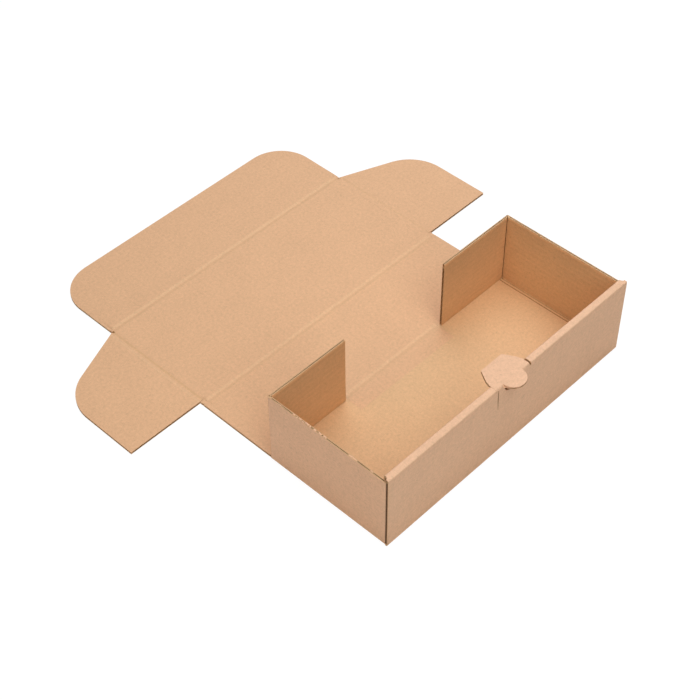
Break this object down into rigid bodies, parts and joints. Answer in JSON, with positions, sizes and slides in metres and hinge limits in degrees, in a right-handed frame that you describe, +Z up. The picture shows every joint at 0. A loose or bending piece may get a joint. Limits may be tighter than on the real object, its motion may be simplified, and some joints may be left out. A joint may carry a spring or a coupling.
{
  "type": "corrugated mailer box",
  "caption": "Corrugated mailer box lying open: tray with a rolled front wall and folded rear flaps, and a flat lid with a tuck flap and rounded ears.",
  "frame": {"origin": "middle of the underside of the tray's base", "axes": "+X along the tray's long side, to the right as seen from the front; the rolled front wall is at -Y and the open lid lies towards +Y; +Z up"},
  "size_m": [0.5308, 0.5059, 0.0959],
  "materials": {
    "board": "matte"
  },
  "bodies": {
    "tray": {"tray": "board"},
    "lock_tongue": {"lock_tongue": "board"},
    "left_rear_flap": {"left_rear_flap": "board"},
    "right_rear_flap": {"right_rear_flap": "board"},
    "back_wall": {"back_wall": "board"},
    "lid": {"lid": "board"},
    "left_ear": {"left_ear": "board"},
    "right_ear": {"right_ear": "board"},
    "tuck_flap": {"tuck_flap": "board"}
  },
  "joints": [
    {"name": "back_wall", "type": "hinge", "parent": "tray", "child": "back_wall", "pos_m": [0, 0.0778, 0.00135], "axis": [1, 0, 0], "range_deg": [0, 90]},
    {"name": "lid", "type": "hinge", "parent": "back_wall", "child": "lid", "pos_m": [0, 0.1746, 0.00135], "axis": [1, 0, 0], "range_deg": [0, 90]},
    {"name": "tuck_flap", "type": "hinge", "parent": "lid", "child": "tuck_flap", "pos_m": [0, 0.32015, 0.00135], "axis": [1, 0, 0], "range_deg": [0, 90]},
    {"name": "left_ear", "type": "hinge", "parent": "lid", "child": "left_ear", "pos_m": [-0.17065, 0.25, 0.00135], "axis": [0, 1, 0], "range_deg": [0, 90]},
    {"name": "right_ear", "type": "hinge", "parent": "lid", "child": "right_ear", "pos_m": [0.17065, 0.25, 0.00135], "axis": [0, -1, 0], "range_deg": [0, 90]},
    {"name": "left_rear_flap", "type": "hinge", "parent": "tray", "child": "left_rear_flap", "pos_m": [-0.17365, 0.0748, 0.047], "axis": [0, 0, -1], "range_deg": [-90, 0]},
    {"name": "right_rear_flap", "type": "hinge", "parent": "tray", "child": "right_rear_flap", "pos_m": [0.17365, 0.0748, 0.047], "axis": [0, 0, 1], "range_deg": [-90, 0]},
    {"name": "lock_tongue", "type": "hinge", "parent": "tray", "child": "lock_tongue", "pos_m": [-0.002, -0.07075, 0.09455], "axis": [-1, 0, 0], "range_deg": [0, 90]}
  ]
}
